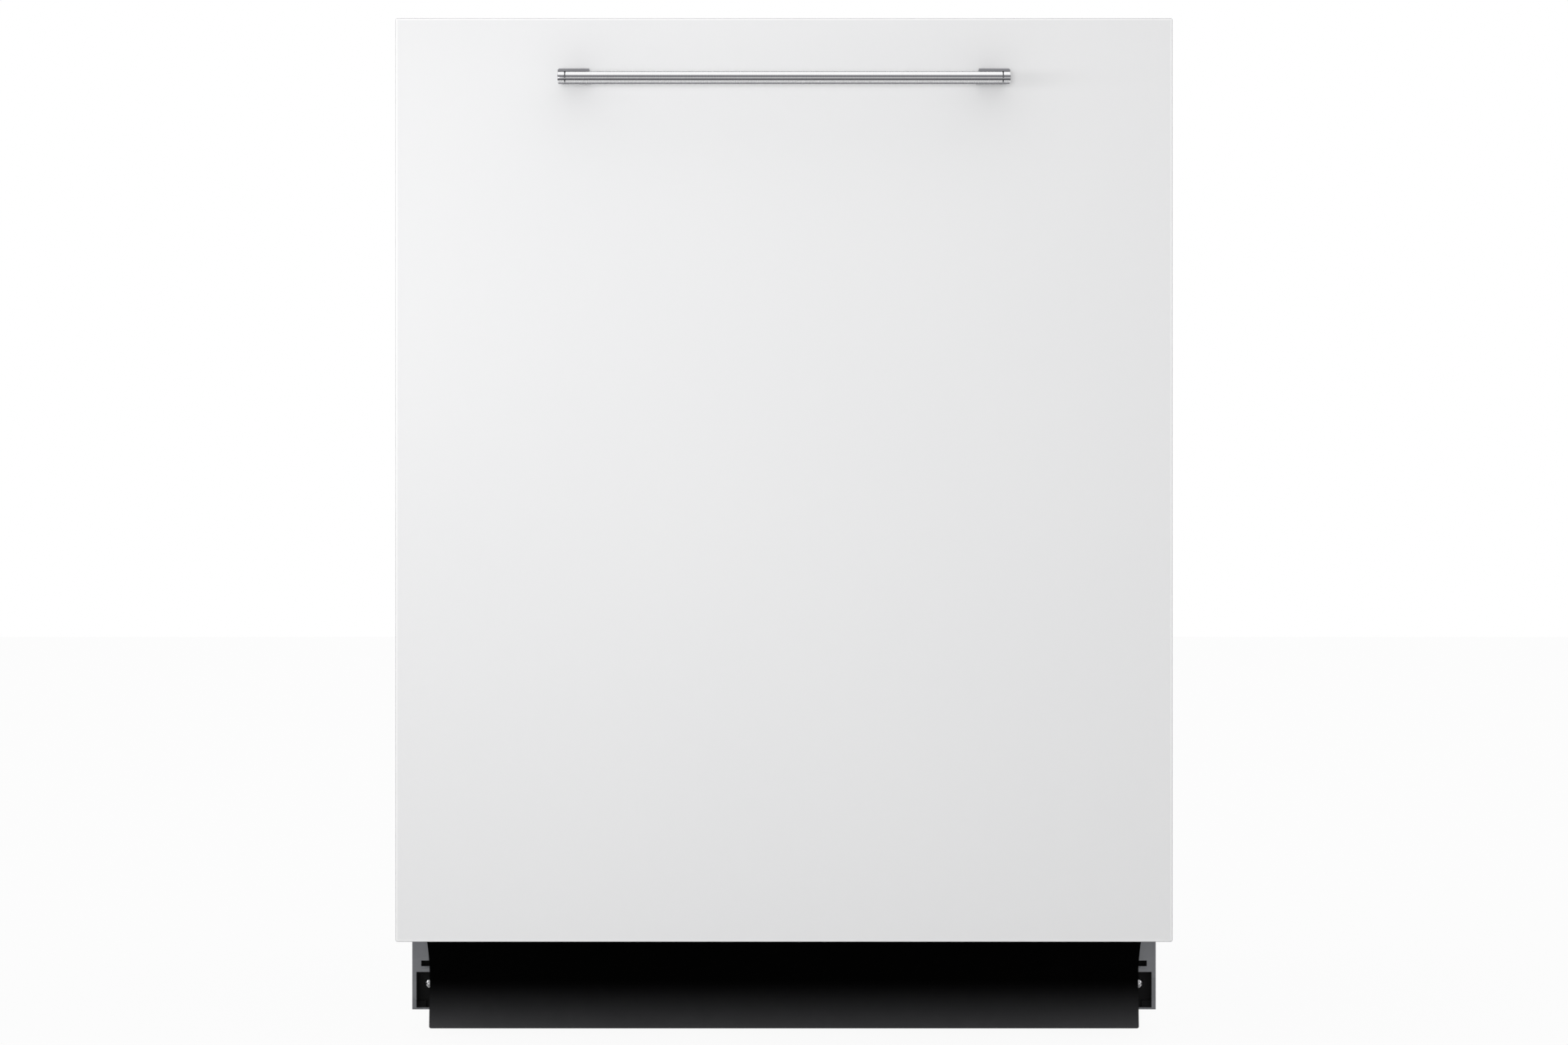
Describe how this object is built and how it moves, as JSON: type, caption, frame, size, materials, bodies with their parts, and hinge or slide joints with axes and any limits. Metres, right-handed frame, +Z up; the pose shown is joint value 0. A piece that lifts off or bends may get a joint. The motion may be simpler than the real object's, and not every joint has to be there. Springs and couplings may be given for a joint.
{
  "type": "built-in dishwasher",
  "caption": "Built-in dishwasher with a plain white furniture front, a slim steel bar handle and a black recessed plinth; the door folds down and the racks slide out.",
  "frame": {"origin": "on the floor, at the middle of the overall box", "axes": "+Z up, the door faces -Y, +X to the right seen from the front"},
  "size_m": [0.598, 0.6068, 0.815],
  "materials": {
    "panel_lacquer": "satin white lacquer on a furniture board",
    "handle_steel": "fine brushing along the bar",
    "stainless": "drawn sheet, satin",
    "casing_steel": "galvanised grey coat",
    "plinth_black": "satin black coat",
    "tray_black": "moulded, fine grain",
    "grey_plastic": "moulded, satin",
    "light_plastic": "moulded, satin",
    "dark_plastic": "moulded, satin",
    "seal_rubber": "matt",
    "mat_bitumen": "matt",
    "hinge_zinc": "bright zinc plate",
    "screw_steel": "bright nickel",
    "display_glass": "smoked clear",
    "board_green": "solder mask",
    "motor_metal": "cast",
    "rack_wire": "nylon coated wire"
  },
  "bodies": {
    "cabinet": {"tray_screws": "screw_steel", "tub": "stainless", "striker": "hinge_zinc", "hinge_bracket_left": "hinge_zinc", "hinge_bracket_right": "hinge_zinc", "hinge_pins": "hinge_zinc", "door_spring_left": "hinge_zinc", "door_spring_right": "hinge_zinc", "side_panel_left": "casing_steel", "side_panel_right": "casing_steel", "back_panel": "casing_steel", "top_brace_front": "casing_steel", "top_brace_rear": "casing_steel", "base_tray": "tray_black", "kick_plate": "plinth_black", "tub_gasket": "seal_rubber", "sound_mat": "mat_bitumen", "sump": "dark_plastic", "filter_plate": "stainless", "circulation_pump": "dark_plastic", "drain_pump": "dark_plastic", "inlet_valve": "light_plastic", "terminal_box": "grey_plastic", "feed_pipe": "grey_plastic", "lower_hub": "grey_plastic", "rack_glides": "grey_plastic"},
    "dispenser_lid": {"dispenser_lid": "light_plastic"},
    "rinse_cap": {"rinse_cap": "dark_plastic"},
    "button_power": {"button_power": "light_plastic"},
    "button_program": {"button_program": "light_plastic"},
    "button_start": {"button_start": "light_plastic"},
    "foot_front_left": {"foot_front_left": "tray_black"},
    "foot_front_right": {"foot_front_right": "tray_black"},
    "foot_rear_left": {"foot_rear_left": "tray_black"},
    "foot_rear_right": {"foot_rear_right": "tray_black"},
    "filter_cartridge": {"filter_cartridge": "grey_plastic"},
    "float_dome": {"float_dome": "light_plastic"},
    "pump_rotor": {"pump_rotor": "motor_metal"},
    "lower_spray_arm": {"lower_spray_arm": "grey_plastic"},
    "upper_spray_arm": {"upper_spray_arm": "grey_plastic"},
    "door": {"front_panel": "panel_lacquer", "handle_bar": "handle_steel", "handle_caps": "handle_steel", "handle_post_right": "handle_steel", "handle_post_left": "handle_steel", "door_screws": "screw_steel", "outer_door": "casing_steel", "inner_door": "stainless", "control_strip": "dark_plastic", "display_window": "display_glass", "control_board": "board_green", "latch_unit": "grey_plastic", "dispenser_body": "grey_plastic", "hinge_arm_right": "hinge_zinc", "hinge_arm_left": "hinge_zinc"},
    "lower_rack": {"lower_rack": "rack_wire", "plate_tines": "rack_wire", "cutlery_basket": "grey_plastic"},
    "upper_rack": {"upper_rack": "rack_wire", "upper_feed_tube": "grey_plastic"}
  },
  "joints": [
    {"name": "door_hinge", "type": "hinge", "parent": "cabinet", "child": "door", "pos_m": [0, -0.2066, 0.112], "axis": [1, 0, 0], "range_deg": [0, 90], "deforming": ["door_spring_left", "door_spring_right"]},
    {"name": "lower_rack_slide", "type": "slide", "parent": "cabinet", "child": "lower_rack", "axis": [0, -1, 0], "range_m": [0, 0.261]},
    {"name": "upper_rack_slide", "type": "slide", "parent": "cabinet", "child": "upper_rack", "axis": [0, -1, 0], "range_m": [0, 0.341]},
    {"name": "lower_arm_spin", "type": "hinge", "parent": "cabinet", "child": "lower_spray_arm", "pos_m": [0, 0.04255, 0.17], "axis": [0, 0, 1], "continuous": true},
    {"name": "upper_arm_spin", "type": "hinge", "parent": "upper_rack", "child": "upper_spray_arm", "pos_m": [0, 0.04255, 0.449], "axis": [0, 0, 1], "continuous": true},
    {"name": "filter_twist", "type": "hinge", "parent": "cabinet", "child": "filter_cartridge", "pos_m": [0.105, -0.035, 0.15], "axis": [0, 0, 1], "range_deg": [0, 90]},
    {"name": "float_rise", "type": "slide", "parent": "cabinet", "child": "float_dome", "axis": [0, 0, 1], "range_m": [0, 0.012]},
    {"name": "rotor_spin", "type": "hinge", "parent": "cabinet", "child": "pump_rotor", "pos_m": [-0.045, -0.035, 0.082], "axis": [1, 0, 0], "continuous": true},
    {"name": "lid_swing", "type": "hinge", "parent": "door", "child": "dispenser_lid", "pos_m": [-0.004, -0.2013, 0.412], "axis": [-1, 0, 0], "range_deg": [0, 100]},
    {"name": "cap_turn", "type": "hinge", "parent": "door", "child": "rinse_cap", "pos_m": [0.102, -0.2, 0.452], "axis": [0, 1, 0], "range_deg": [0, 90]},
    {"name": "power_press", "type": "slide", "parent": "door", "child": "button_power", "axis": [0, 0, -1], "range_m": [0, 0.0015], "stiffness_N_per_m": 300, "springref_m": -0.001},
    {"name": "program_press", "type": "slide", "parent": "door", "child": "button_program", "axis": [0, 0, -1], "range_m": [0, 0.0015], "stiffness_N_per_m": 300, "springref_m": -0.001},
    {"name": "start_press", "type": "slide", "parent": "door", "child": "button_start", "axis": [0, 0, -1], "range_m": [0, 0.0015], "stiffness_N_per_m": 300, "springref_m": -0.001},
    {"name": "foot_front_left_screw", "type": "slide", "parent": "cabinet", "child": "foot_front_left", "axis": [0, 0, -1], "range_m": [0, 0.045]},
    {"name": "foot_front_right_screw", "type": "slide", "parent": "cabinet", "child": "foot_front_right", "axis": [0, 0, -1], "range_m": [0, 0.045]},
    {"name": "foot_rear_left_screw", "type": "slide", "parent": "cabinet", "child": "foot_rear_left", "axis": [0, 0, -1], "range_m": [0, 0.045]},
    {"name": "foot_rear_right_screw", "type": "slide", "parent": "cabinet", "child": "foot_rear_right", "axis": [0, 0, -1], "range_m": [0, 0.045]}
  ],
  "couplings": [
    {"joint": "lower_rack_slide", "follows": "door_hinge", "m_per_rad": 0.16552},
    {"joint": "upper_rack_slide", "follows": "door_hinge", "m_per_rad": 0.21645}
  ]
}
